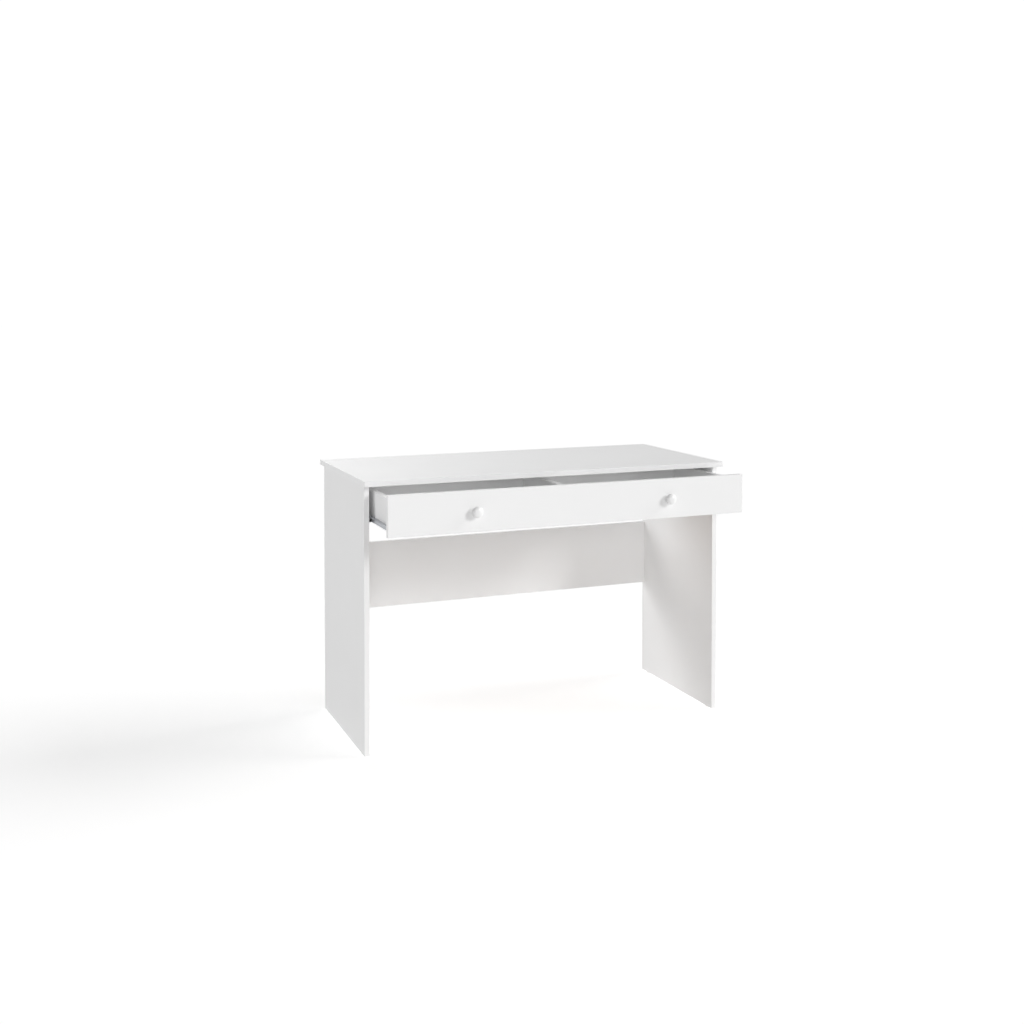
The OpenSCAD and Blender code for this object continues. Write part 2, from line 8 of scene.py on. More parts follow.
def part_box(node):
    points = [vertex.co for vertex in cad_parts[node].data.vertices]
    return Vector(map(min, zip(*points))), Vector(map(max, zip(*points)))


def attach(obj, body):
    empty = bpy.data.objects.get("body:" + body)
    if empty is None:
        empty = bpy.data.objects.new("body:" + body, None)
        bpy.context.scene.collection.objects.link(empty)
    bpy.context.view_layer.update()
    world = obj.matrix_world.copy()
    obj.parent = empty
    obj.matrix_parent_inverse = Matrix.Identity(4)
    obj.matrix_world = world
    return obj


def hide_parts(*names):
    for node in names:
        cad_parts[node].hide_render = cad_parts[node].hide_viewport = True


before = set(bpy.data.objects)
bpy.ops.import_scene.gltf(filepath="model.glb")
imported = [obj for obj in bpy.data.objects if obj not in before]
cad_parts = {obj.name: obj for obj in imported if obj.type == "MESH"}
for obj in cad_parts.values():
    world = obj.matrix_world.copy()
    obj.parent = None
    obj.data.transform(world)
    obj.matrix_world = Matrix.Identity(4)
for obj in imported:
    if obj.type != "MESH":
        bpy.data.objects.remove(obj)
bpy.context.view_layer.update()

MM = 0.001


# ---- Camera ----
# It stands in front of the desk's left half, a little above the worktop, and
# looks along the desk to the right. The lens is a short portrait lens.
camera = bpy.data.objects.new("camera", bpy.data.cameras.new("camera"))
bpy.context.scene.collection.objects.link(camera)
camera.location = (-1.4493, -3.4222, 1.2376)
CAMERA_PITCH = 1.572
CAMERA_YAW = 22.094
camera.rotation_euler = (math.radians(90 - CAMERA_PITCH), 0, math.radians(-CAMERA_YAW))
camera.data.sensor_width = 36
camera.data.lens = 44.619
camera.data.shift_y = -0.175
bpy.context.scene.camera = camera


# ---- Studio ----
# A white painted floor without an edge, a white room that lights the desk from
# every side, and five soft lamps round it: the main one is in front, on the right.
def srgb(hex_colour):
    """An sRGB hex colour as linear red, green, blue and alpha."""
    shown = [int(hex_colour[i:i + 2], 16) / 255 for i in (1, 3, 5)]
    return [c / 12.92 if c <= 0.04045 else ((c + 0.055) / 1.055) ** 2.4 for c in shown] + [1]


def put(tree, kind, inputs=None, **settings):
    """Adds a node with its settings. An input takes a value, a socket or a list of sockets."""
    node = tree.nodes.new(kind)
    for name, value in settings.items():
        setattr(node, name, value)
    for socket, source in (inputs or {}).items():
        links = source if isinstance(source, list) else [source]
        if isinstance(links[0], bpy.types.NodeSocket):
            for link in links:
                tree.links.new(link, node.inputs[socket])
        else:
            node.inputs[socket].default_value = source
    return node


def new_material(name):
    """An empty node material, its tree and its shader."""
    material = bpy.data.materials.new(name)
    material.use_nodes = True
    tree = material.node_tree
    tree.nodes.clear()
    shader = put(tree, "ShaderNodeBsdfPrincipled")
    put(tree, "ShaderNodeOutputMaterial", {"Surface": shader.outputs["BSDF"]})
    return material, tree, shader


def new_piece(name, mesh):
    """A new object for a mesh, at the origin."""
    piece = bpy.data.objects.new(name, mesh)
    bpy.context.scene.collection.objects.link(piece)
    return piece


bpy.context.scene.view_settings.view_transform = "Standard"
bpy.context.scene.cycles.diffuse_bounces = 8

FLOOR_HALF = 60
floor_mesh = bpy.data.meshes.new("studio_floor")
floor_mesh.from_pydata([(-FLOOR_HALF, -FLOOR_HALF, 0), (FLOOR_HALF, -FLOOR_HALF, 0),
                        (FLOOR_HALF, FLOOR_HALF, 0), (-FLOOR_HALF, FLOOR_HALF, 0)],
                       [], [(0, 1, 2, 3)])
studio_floor = new_piece("studio_floor", floor_mesh)

# Matt white studio paint, rolled on: even and without gloss. Its glow stands in for the lamps
# that leave the floor out, and is seen stronger than it shines, so lit paint looks pure white.
floor_paint, tree, shader = new_material("matt_studio_paint")
shader.inputs["Base Color"].default_value = srgb("#fdfdfd")
shader.inputs["Roughness"].default_value = 0.9
shader.inputs["Specular IOR Level"].default_value = 0.0
shader.inputs["Emission Color"].default_value = srgb("#ffffff")
FLOOR_GLOW = 0.40
FLOOR_SEEN_GLOW = 0.64
ray = put(tree, "ShaderNodeLightPath").outputs["Is Camera Ray"]
glow = put(tree, "ShaderNodeMapRange", {"Value": ray, "To Min": FLOOR_GLOW,
                                        "To Max": FLOOR_SEEN_GLOW})
tree.links.new(glow.outputs[0], shader.inputs["Emission Strength"])
floor_mesh.materials.append(floor_paint)

ROOM_LIGHT = 0.18
ROOM_SEEN = 1.05
room = bpy.data.worlds.new("white_room")
bpy.context.scene.world = room
room.use_nodes = True
tree = room.node_tree
tree.nodes.clear()
ray = put(tree, "ShaderNodeLightPath").outputs["Is Camera Ray"]
lit = put(tree, "ShaderNodeBackground", {"Color": srgb("#ffffff"), "Strength": ROOM_LIGHT})
seen = put(tree, "ShaderNodeBackground", {"Color": srgb("#ffffff"), "Strength": ROOM_SEEN})
both = put(tree, "ShaderNodeMixShader", {0: ray, 1: lit.outputs[0], 2: seen.outputs[0]})
put(tree, "ShaderNodeOutputWorld", {"Surface": both.outputs[0]})

# Each lamp's place is its angle round the desk, from the front towards the right, and its
# height, both in degrees; then its width in degrees and its strength. Only the right softbox
# lights the floor, so the only shadow there is its soft one, on the left.
LAMPS = {"main_lamp": (38, 23, 16, 1.30), "right_softbox": (82, 30, 34, 1.25),
         "front_fill": (-15, 12, 14, 0.54), "rear_fill": (180, 32, 32, 1.42),
         "left_fill": (247, 13, 26, 0.90)}
off_the_floor = bpy.data.collections.new("off_the_floor")
off_the_floor.objects.link(studio_floor)
off_the_floor.collection_objects[0].light_linking.link_state = "EXCLUDE"
for name, (round_desk, raised, width, strength) in LAMPS.items():
    lamp = bpy.data.objects.new(name, bpy.data.lights.new(name, "SUN"))
    bpy.context.scene.collection.objects.link(lamp)
    lamp.data.energy = strength
    lamp.data.angle = math.radians(width)
    lamp.rotation_euler = (math.radians(90 - raised), 0, math.radians(round_desk))
    if name != "right_softbox":
        lamp.light_linking.receiver_collection = off_the_floor


# ---- Desktop ----
# One board of melamine-faced chipboard, 15 mm thick, laid on the side panels.
# A 1 mm plastic band is glued round all four edges and rounded off with a cutter.
def melamine():
    """Melamine-faced chipboard: paper pressed against a finely textured steel plate, so
    the white is even, and the gloss is broken up by a pearl grain of about half a millimetre."""
    pearl_width, cloud_width = 0.55 * MM, 140 * MM
    material, tree, shader = new_material("white_melamine")
    place = put(tree, "ShaderNodeTexCoord").outputs["Object"]
    pearl = put(tree, "ShaderNodeTexNoise", {"Vector": place, "Scale": 1 / pearl_width,
                                             "Detail": 2.0, "Roughness": 0.6})
    cloud = put(tree, "ShaderNodeTexNoise", {"Vector": place, "Scale": 1 / cloud_width,
                                             "Detail": 3.0})
    tint = put(tree, "ShaderNodeMix", {"Factor": cloud.outputs["Fac"], 6: srgb("#efefef"),
                                       7: srgb("#f2f2f2")}, data_type="RGBA")
    dots = put(tree, "ShaderNodeMapRange", {"Value": pearl.outputs["Fac"], "To Min": 0.42,
                                            "To Max": 0.54})
    grain = put(tree, "ShaderNodeBump", {"Height": pearl.outputs["Fac"], "Strength": 0.12,
                                         "Distance": 0.02 * MM})
    for socket, source in (("Base Color", tint.outputs[2]), ("Roughness", dots.outputs[0]),
                           ("Normal", grain.outputs[0])):
        tree.links.new(source, shader.inputs[socket])
    shader.inputs["IOR"].default_value = 1.5
    return material


def chipboard():
    """Raw chipboard, as sawn: wood chips of 1 to 4 mm in glue, seen as a mottled, rough,
    straw-coloured edge with small dark gaps between the chips."""
    chip_width, fibre_width = 2.2 * MM, 0.8 * MM
    material, tree, shader = new_material("raw_chipboard")
    place = put(tree, "ShaderNodeTexCoord").outputs["Object"]
    chips = put(tree, "ShaderNodeTexVoronoi", {"Vector": place, "Scale": 1 / chip_width,
                                               "Randomness": 1.0})
    fibres = put(tree, "ShaderNodeTexNoise", {"Vector": place, "Scale": 1 / fibre_width,
                                              "Detail": 4.0})
    chip = put(tree, "ShaderNodeSeparateColor", {"Color": chips.outputs["Color"]})
    colour = put(tree, "ShaderNodeMix", {"Factor": chip.outputs[0], 6: srgb("#b08c5e"),
                                         7: srgb("#dcc397")}, data_type="RGBA")
    gaps = put(tree, "ShaderNodeMapRange", {"Value": fibres.outputs["Fac"], "From Min": 0.38,
                                            "From Max": 0.5, "To Min": 0.55, "To Max": 1.0})
    shaded = put(tree, "ShaderNodeMix", {"Factor": 1.0, 6: colour.outputs[2],
                                         7: gaps.outputs[0]}, data_type="RGBA",
                 blend_type="MULTIPLY")
    rough = put(tree, "ShaderNodeBump", {"Height": fibres.outputs["Fac"], "Strength": 0.7,
                                         "Distance": 0.3 * MM})
    tree.links.new(shaded.outputs[2], shader.inputs["Base Color"])
    tree.links.new(rough.outputs[0], shader.inputs["Normal"])
    shader.inputs["Roughness"].default_value = 0.85
    return material


def abs_band():
    """Edge band of ABS plastic, extruded, trimmed and scraped: white as the board, a little
    smoother, with faint scraper marks a third of a millimetre apart along it."""
    mark_spacing, cloud_width = 0.35 * MM, 90 * MM
    material, tree, shader = new_material("white_abs_band")
    place = put(tree, "ShaderNodeTexCoord").outputs["Object"]
    marks = put(tree, "ShaderNodeTexNoise", {"Vector": place, "Scale": 1 / mark_spacing,
                                             "Detail": 1.0})
    cloud = put(tree, "ShaderNodeTexNoise", {"Vector": place, "Scale": 1 / cloud_width})
    tint = put(tree, "ShaderNodeMix", {"Factor": cloud.outputs["Fac"], 6: srgb("#f0f0f0"),
                                       7: srgb("#f3f3f3")}, data_type="RGBA")
    gloss = put(tree, "ShaderNodeMapRange", {"Value": marks.outputs["Fac"], "To Min": 0.34,
                                             "To Max": 0.46})
    ripple = put(tree, "ShaderNodeBump", {"Height": marks.outputs["Fac"], "Strength": 0.2,
                                          "Distance": 0.02 * MM})
    for socket, source in (("Base Color", tint.outputs[2]), ("Roughness", gloss.outputs[0]),
                           ("Normal", ripple.outputs[0])):
        tree.links.new(source, shader.inputs[socket])
    shader.inputs["IOR"].default_value = 1.53
    return material


white_melamine = melamine()
raw_chipboard = chipboard()
white_abs_band = abs_band()

MERGE = 0.002 * MM
SPECK = MERGE / 4
FLAT = math.radians(1)
ARRIS = math.radians(40)


def machined(name, node, rounding, steps, which=None):
    """A copy of a CAD node's shape as one closed mesh, with its outer arrises rounded. An
    arris is an edge on two sides of the shape's box, or any convex edge that which() picks."""
    bm = bmesh.new()
    bm.from_mesh(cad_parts[node].data)
    bmesh.ops.remove_doubles(bm, verts=bm.verts, dist=MERGE)
    bmesh.ops.dissolve_limit(bm, angle_limit=FLAT, verts=bm.verts, edges=bm.edges)
    low = Vector([min(v.co[i] for v in bm.verts) for i in range(3)])
    high = Vector([max(v.co[i] for v in bm.verts) for i in range(3)])

    def on_box(edge):
        sides = [all(abs(v.co[i] - side[i]) < MERGE for v in edge.verts)
                 for i in range(3) for side in (low, high)]
        return sum(sides) >= 2

    chosen = [e for e in bm.edges if len(e.link_faces) == 2 and e.is_convex
              and e.calc_face_angle(0) > ARRIS and (which or on_box)(e)]
    bmesh.ops.bevel(bm, geom=chosen, offset=rounding, offset_type="OFFSET", segments=steps,
                    profile=0.5, affect="EDGES", clamp_overlap=True)
    bmesh.ops.dissolve_degenerate(bm, edges=bm.edges, dist=SPECK)
    for face in bm.faces:
        face.smooth = False
    mesh = bpy.data.meshes.new(name)
    bm.to_mesh(mesh)
    bm.free()
    if mesh.has_custom_normals:
        mesh.attributes.remove(mesh.attributes["custom_normal"])
    return new_piece(name, mesh), low, high


def board(name, node, thin, body, under=True, core=None):
    """A board with a melamine face on the high side of its thin axis, and on the low side too
    where under is true. Its core shows on every cut edge."""
    saw_arris, on_side = 0.12 * MM, 0.1 * MM
    piece, low, high = machined(name, node, saw_arris, steps=2)
    piece.data.materials.append(white_melamine)
    piece.data.materials.append(core or raw_chipboard)
    faced = (low, high) if under else (high,)
    for face in piece.data.polygons:
        level = abs(face.normal[thin]) > 0.5
        shows = any(abs(face.center[thin] - side[thin]) < on_side for side in faced)
        face.material_index = 0 if level and shows else 1
    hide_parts(node)
    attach(piece, body)
    return piece


def band(name, node, body, which=None):
    """Plastic edge band, its long arrises rounded to 0.6 mm by the edge-banding machine."""
    band_arris = 0.6 * MM
    piece = machined(name, node, band_arris, steps=4, which=which)[0]
    piece.data.materials.append(white_abs_band)
    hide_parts(node)
    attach(piece, body)
    return piece


X, Y, Z = 0, 1, 2
board("desktop_board", "desktop", Z, "carcass")
band("desktop_band", "desktop_edge_band", "carcass")


# ---- Side panels ----
# Two panels of the same board stand in for legs, each banded at the front, at
# the rear and along the foot. The cam locks' pockets are drilled in the inner face.
for side in ("left", "right"):
    board(f"{side}_panel_board", f"{side}_side_panel", X, "carcass")
    band(f"{side}_panel_band", f"{side}_side_edge_band", "carcass")


# ---- Modesty panel ----
# A low board between the side panels' rear edges keeps the desk from racking.
# It is banded along its upper and lower edges.
board("modesty_board", "modesty_panel", Y, "carcass")
band("modesty_band", "modesty_edge_band", "carcass")


# ---- Cam locks, bolts and dowels of the carcass ----
# Each joint has two zinc die-cast cam locks with steel bolts, and a beech dowel.
# The cam locks are pressed into their pockets and turned with a screwdriver.
def die_cast():
    """Zinc die-casting as it leaves the tumbler: dull grey metal with a cast skin of
    soft grains about half a millimetre wide."""
    grain_width = 0.6 * MM
    material, tree, shader = new_material("zinc_die_casting")
    place = put(tree, "ShaderNodeTexCoord").outputs["Object"]
    skin = put(tree, "ShaderNodeTexNoise", {"Vector": place, "Scale": 1 / grain_width,
                                            "Detail": 3.0})
    tint = put(tree, "ShaderNodeMix", {"Factor": skin.outputs["Fac"], 6: srgb("#83878b"),
                                       7: srgb("#a3a7ab")}, data_type="RGBA")
    dull = put(tree, "ShaderNodeMapRange", {"Value": skin.outputs["Fac"], "To Min": 0.42,
                                            "To Max": 0.62})
    grain = put(tree, "ShaderNodeBump", {"Height": skin.outputs["Fac"], "Strength": 0.4,
                                         "Distance": 0.05 * MM})
    for socket, source in (("Base Color", tint.outputs[2]), ("Roughness", dull.outputs[0]),
                           ("Normal", grain.outputs[0])):
        tree.links.new(source, shader.inputs[socket])
    shader.inputs["Metallic"].default_value = 1.0
    return material


def zinc_plate():
    """Bright zinc-plated steel, rolled before plating: bluish grey, with fine rolling lines
    along the runners and cloudy patches of a few centimetres where the plating is thicker."""
    line_spacing, drawn_out, cloud_width = 0.4 * MM, 0.03, 25 * MM
    material, tree, shader = new_material("zinc_plated_steel")
    place = put(tree, "ShaderNodeTexCoord").outputs["Object"]
    rolled = put(tree, "ShaderNodeMapping", {"Vector": place, "Scale": (1.0, drawn_out, 1.0)})
    lines = put(tree, "ShaderNodeTexNoise", {"Vector": rolled.outputs[0],
                                             "Scale": 1 / line_spacing, "Detail": 2.0})
    cloud = put(tree, "ShaderNodeTexNoise", {"Vector": place, "Scale": 1 / cloud_width,
                                             "Detail": 3.0})
    tint = put(tree, "ShaderNodeMix", {"Factor": cloud.outputs["Fac"], 6: srgb("#bfc2c6"),
                                       7: srgb("#d3d5d9")}, data_type="RGBA")
    gloss = put(tree, "ShaderNodeMapRange", {"Value": lines.outputs["Fac"], "To Min": 0.44,
                                             "To Max": 0.60})
    ripple = put(tree, "ShaderNodeBump", {"Height": lines.outputs["Fac"], "Strength": 0.25,
                                          "Distance": 0.02 * MM})
    for socket, source in (("Base Color", tint.outputs[2]), ("Roughness", gloss.outputs[0]),
                           ("Normal", ripple.outputs[0])):
        tree.links.new(source, shader.inputs[socket])
    shader.inputs["Metallic"].default_value = 1.0
    return material


def beech():
    """Steamed beech, turned and fluted: pale pinkish brown, with fibres a third of a
    millimetre apart along the dowel and short dark flecks."""
    fibre_spacing, drawn_out = 0.35 * MM, 0.15
    material, tree, shader = new_material("beech_wood")
    place = put(tree, "ShaderNodeTexCoord").outputs["Object"]
    along = put(tree, "ShaderNodeMapping", {"Vector": place,
                                            "Scale": (1.0, drawn_out, drawn_out)})
    fibre = put(tree, "ShaderNodeTexNoise", {"Vector": along.outputs[0],
                                             "Scale": 1 / fibre_spacing, "Detail": 4.0})
    tint = put(tree, "ShaderNodeMix", {"Factor": fibre.outputs["Fac"], 6: srgb("#b98f62"),
                                       7: srgb("#e0c39b")}, data_type="RGBA")
    grain = put(tree, "ShaderNodeBump", {"Height": fibre.outputs["Fac"], "Strength": 0.4,
                                         "Distance": 0.08 * MM})
    tree.links.new(tint.outputs[2], shader.inputs["Base Color"])
    tree.links.new(grain.outputs[0], shader.inputs["Normal"])
    shader.inputs["Roughness"].default_value = 0.65
    return material


zinc_die_casting = die_cast()
zinc_plated_steel = zinc_plate()
beech_wood = beech()


def solids(node):
    """The separate solids of a CAD node, each as its lowest and highest corner, in the order
    of their lowest corners to a hundredth of a millimetre."""
    digits = 5
    bm = bmesh.new()
    bm.from_mesh(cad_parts[node].data)
    bmesh.ops.remove_doubles(bm, verts=bm.verts, dist=MERGE)
    left, found = set(bm.verts), []
    while left:
        group, edge = set(), [left.pop()]
        while edge:
            vert = edge.pop()
            group.add(vert)
            near = {e.other_vert(vert) for e in vert.link_edges} & left
            left -= near
            edge.extend(near)
        found.append((Vector([min(v.co[i] for v in group) for i in range(3)]),
                      Vector([max(v.co[i] for v in group) for i in range(3)])))
    bm.free()
    return sorted(found, key=lambda pair: tuple(round(c, digits) for c in pair[0]))


def turned_to(outward, across):
    """The turn that takes a fitting's Z axis to outward and its X axis to across."""
    third = outward.cross(across)
    return Matrix((across, third, outward)).transposed().to_quaternion()


SHARP = math.radians(30)


def fittings(name, node, tree, sizes, seats, material, body):
    """Sets one fitting from a geometry tree on each seat, a point and a turn, and makes the
    result one plain mesh."""
    mesh = bpy.data.meshes.new(name)
    mesh.from_pydata([point for point, _ in seats], [], [])
    turn = mesh.attributes.new("turn", "QUATERNION", "POINT")
    for value, (_, seat) in zip(turn.data, seats):
        value.value = seat
    piece = new_piece(name, mesh)
    modifier = piece.modifiers.new("fitting", "NODES")
    modifier.node_group = tree
    for item in tree.interface.items_tree:
        if item.in_out == "INPUT" and item.name in sizes:
            modifier[item.identifier] = sizes[item.name]
        if item.in_out == "INPUT" and item.name == "Finish":
            modifier[item.identifier] = material
    graph = bpy.context.evaluated_depsgraph_get()
    made = bpy.data.meshes.new_from_object(piece.evaluated_get(graph))
    piece.modifiers.remove(modifier)
    piece.data = made
    made.name = name
    made.materials.clear()
    made.materials.append(material)
    for face in made.polygons:
        face.material_index = 0
        face.use_smooth = True
    made.set_sharp_from_angle(angle=SHARP)
    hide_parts(node)
    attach(piece, body)
    return piece


def new_fitting_tree(name, sizes):
    """An empty geometry tree with the seats' geometry, named sizes in metres and a finish."""
    tree = bpy.data.node_groups.new(name, "GeometryNodeTree")
    face = tree.interface
    face.new_socket("Geometry", in_out="INPUT", socket_type="NodeSocketGeometry")
    for size in sizes:
        face.new_socket(size, in_out="INPUT", socket_type="NodeSocketFloat")
    face.new_socket("Finish", in_out="INPUT", socket_type="NodeSocketMaterial")
    face.new_socket("Geometry", in_out="OUTPUT", socket_type="NodeSocketGeometry")
    return tree, put(tree, "NodeGroupInput").outputs


def set_on_seats(tree, given, fitting):
    """Ends a fitting's tree: one copy on each seat, made real, in its finish."""
    turn = put(tree, "GeometryNodeInputNamedAttribute", {"Name": "turn"},
               data_type="QUATERNION")
    placed = put(tree, "GeometryNodeInstanceOnPoints",
                 {"Points": given["Geometry"], "Instance": fitting,
                  "Rotation": turn.outputs["Attribute"]})
    real = put(tree, "GeometryNodeRealizeInstances", {"Geometry": placed.outputs[0]})
    painted = put(tree, "GeometryNodeSetMaterial", {"Geometry": real.outputs[0],
                                                    "Material": given["Finish"]})
    put(tree, "NodeGroupOutput", {"Geometry": painted.outputs[0]})
    return tree


def at_height(tree, mesh, size, share=1.0, turn=0.0):
    """Turns a mesh about Z and moves it along Z by that share of a size."""
    size = put(tree, "ShaderNodeCombineXYZ", {"Z": size}).outputs[0]
    up = put(tree, "ShaderNodeVectorMath", {0: size, "Scale": share}, operation="SCALE")
    return put(tree, "GeometryNodeTransform", {"Geometry": mesh, "Translation": up.outputs[0],
                                               "Rotation": (0.0, 0.0, turn)}).outputs[0]


def cam_lock_tree():
    """A round housing, open at one side for the bolt, with a cross slot and an arrow."""
    bore_length, slot_depth = 15 * MM, 2 * MM
    arrow_radius, arrow_depth, arrow_at = 1.1 * MM, 0.4 * MM, 5.8 * MM
    tree, given = new_fitting_tree("cam_lock", ["Radius", "Height", "Bore Radius", "Bore Height",
                                                "Bore Past", "Slot Length", "Slot Width"])
    drum = put(tree, "GeometryNodeMeshCylinder", {"Vertices": 48, "Radius": given["Radius"],
                                                  "Depth": given["Height"]})
    drum = at_height(tree, drum.outputs["Mesh"], given["Height"], -0.5)
    bore = put(tree, "GeometryNodeMeshCylinder", {"Vertices": 24, "Radius": given["Bore Radius"],
                                                  "Depth": bore_length})
    reach = put(tree, "ShaderNodeMath", {0: bore_length / 2, 1: given["Bore Past"]},
                operation="SUBTRACT")
    place = put(tree, "ShaderNodeCombineXYZ", {"X": reach.outputs[0], "Z": given["Bore Height"]})
    bore = put(tree, "GeometryNodeTransform", {"Geometry": bore.outputs["Mesh"],
                                               "Translation": place.outputs[0],
                                               "Rotation": (0.0, math.pi / 2, 0.0)})
    slot = put(tree, "ShaderNodeCombineXYZ", {"X": given["Slot Length"], "Y": given["Slot Width"],
                                              "Z": 2 * slot_depth})
    bar = put(tree, "GeometryNodeMeshCube", {"Size": slot.outputs[0]}).outputs["Mesh"]
    crossed = at_height(tree, bar, 0.0, turn=math.pi / 2)
    arrow = put(tree, "GeometryNodeMeshCone", {"Vertices": 3, "Radius Top": arrow_radius,
                                               "Radius Bottom": arrow_radius,
                                               "Depth": 2 * arrow_depth})
    arrow = put(tree, "GeometryNodeTransform", {"Geometry": arrow.outputs["Mesh"],
                                                "Translation": (arrow_at, 0.0, -arrow_depth)})
    cut = put(tree, "GeometryNodeMeshBoolean",
              {"Mesh 1": drum, "Mesh 2": [bore.outputs[0], bar, crossed, arrow.outputs[0]]},
              operation="DIFFERENCE", solver="EXACT")
    return set_on_seats(tree, given, cut.outputs["Mesh"])


cam_tree = cam_lock_tree()
CAM_SIZES = {"Radius": 7.4 * MM, "Height": 12.5 * MM, "Bore Radius": 3.8 * MM,
             "Bore Height": -7.5 * MM, "Bore Past": 3 * MM, "Slot Length": 9 * MM,
             "Slot Width": 2 * MM}


def cam_seats(node, faces):
    """Seats on the visible face of each cam lock. faces() says where it faces and its bolt is."""
    seats = []
    for low, high in solids(node):
        middle = (low + high) / 2
        outward, across = (Vector(v) for v in faces(middle))
        half = (high - low) / 2
        point = middle + Vector([half[i] * outward[i] for i in range(3)])
        seats.append((point, turned_to(outward, across)))
    return seats


def carcass_cam_faces(middle):
    """The upper ones face the middle of the desk and take their bolt from above. Those of the
    modesty panel face the rear and take their bolt from the side panel."""
    towards = -1 if middle.x > 0 else 1
    if middle.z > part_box("modesty_panel")[1].z:
        return (towards, 0, 0), (0, 0, 1)
    return (0, 1, 0), (-towards, 0, 0)


fittings("carcass_cams", "carcass_cam_locks", cam_tree, CAM_SIZES,
         cam_seats("carcass_cam_locks", carcass_cam_faces), zinc_die_casting,
         "carcass")


def finished(node, material):
    """Gives a CAD node that stays hidden in the boards its real finish."""
    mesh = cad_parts[node].data
    mesh.materials.clear()
    mesh.materials.append(material)


finished("carcass_cam_bolts", zinc_plated_steel)
finished("carcass_dowels", beech_wood)


# ---- Cover caps ----
# Four moulded caps are pressed over the cam locks that show on the back of the
# modesty panel.
def moulded_plastic(name, dark, light, rough, grain_size):
    """Moulded plastic: even colour, and a fine spark-eroded grain from the mould."""
    cloud_width = 12 * MM
    material, tree, shader = new_material(name)
    place = put(tree, "ShaderNodeTexCoord").outputs["Object"]
    spark = put(tree, "ShaderNodeTexNoise", {"Vector": place, "Scale": 1 / grain_size,
                                             "Detail": 2.0})
    cloud = put(tree, "ShaderNodeTexNoise", {"Vector": place, "Scale": 1 / cloud_width})
    tint = put(tree, "ShaderNodeMix", {"Factor": cloud.outputs["Fac"], 6: srgb(dark),
                                       7: srgb(light)}, data_type="RGBA")
    gloss = put(tree, "ShaderNodeMapRange", {"Value": spark.outputs["Fac"],
                                             "To Min": rough - 0.05, "To Max": rough + 0.08})
    grain = put(tree, "ShaderNodeBump", {"Height": spark.outputs["Fac"], "Strength": 0.25,
                                         "Distance": 0.02 * MM})
    for socket, source in (("Base Color", tint.outputs[2]), ("Roughness", gloss.outputs[0]),
                           ("Normal", grain.outputs[0])):
        tree.links.new(source, shader.inputs[socket])
    shader.inputs["IOR"].default_value = 1.49
    return material


def moulded(name, node, material, body, rounding):
    """A small moulded part with every outer edge rounded, in three steps that shade as one."""
    past_a_step = math.radians(35)
    piece = machined(name, node, rounding, steps=3, which=lambda edge: True)[0]
    piece.data.materials.append(material)
    for face in piece.data.polygons:
        face.use_smooth = True
    piece.data.set_sharp_from_angle(angle=past_a_step)
    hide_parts(node)
    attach(piece, body)
    return piece


cap_polypropylene = moulded_plastic("polypropylene_cap", "#e2e2e0", "#e9e9e8", rough=0.38,
                                    grain_size=0.5 * MM)
moulded("cover_caps", "cam_cover_caps", cap_polypropylene, "carcass",
        rounding=0.2 * MM)


# ---- Glides ----
# A round polyethylene glide is nailed under each end of both side panels. The
# nail's head is sunk into the glide.
glide_polyethylene = moulded_plastic("polyethylene_glide", "#d9d9d4", "#e6e6e1", rough=0.5,
                                     grain_size=0.6 * MM)
moulded("glides", "floor_glides", glide_polyethylene, "carcass",
        rounding=0.3 * MM)


